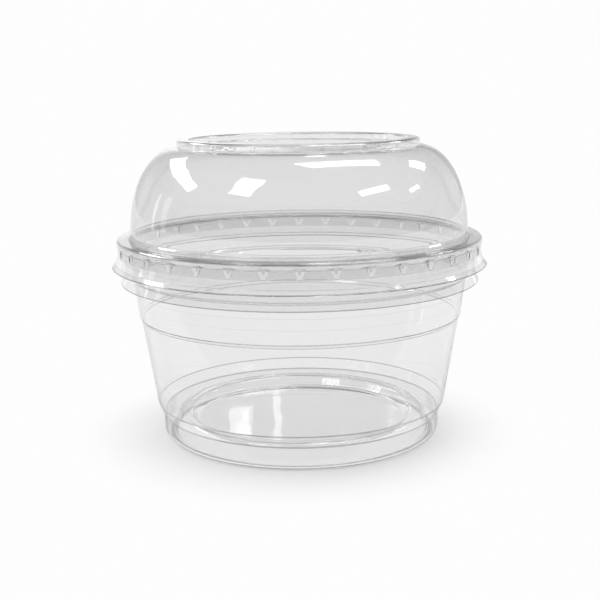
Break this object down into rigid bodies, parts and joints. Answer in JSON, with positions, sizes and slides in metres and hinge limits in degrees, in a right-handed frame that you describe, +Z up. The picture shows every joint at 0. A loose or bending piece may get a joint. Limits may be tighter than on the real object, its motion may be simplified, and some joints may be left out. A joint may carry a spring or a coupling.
{
  "type": "plastic poke bowl with lid",
  "caption": "Round clear plastic food bowl with tapered stepped wall and flared rim, under a tall domed clear lid with a stacking ring on top and snap lugs round its skirt.",
  "frame": {"origin": "centre of the bowl's foot, on the surface that it stands on", "axes": "+Z up, along the axis of the bowl and lid; the object is round, so X and Y are free"},
  "size_m": [0.1224, 0.1224, 0.097],
  "materials": {
    "bowl_clear": "clear glossy formed sheet",
    "lid_clear": "clear glossy formed sheet"
  },
  "bodies": {
    "bowl": {"bowl": "bowl_clear"},
    "lid": {"dome_lid": "lid_clear"}
  },
  "joints": [
    {"name": "lid_lift", "type": "slide", "parent": "bowl", "child": "lid", "axis": [0, 0, 1], "range_m": [0, 0.08]}
  ]
}
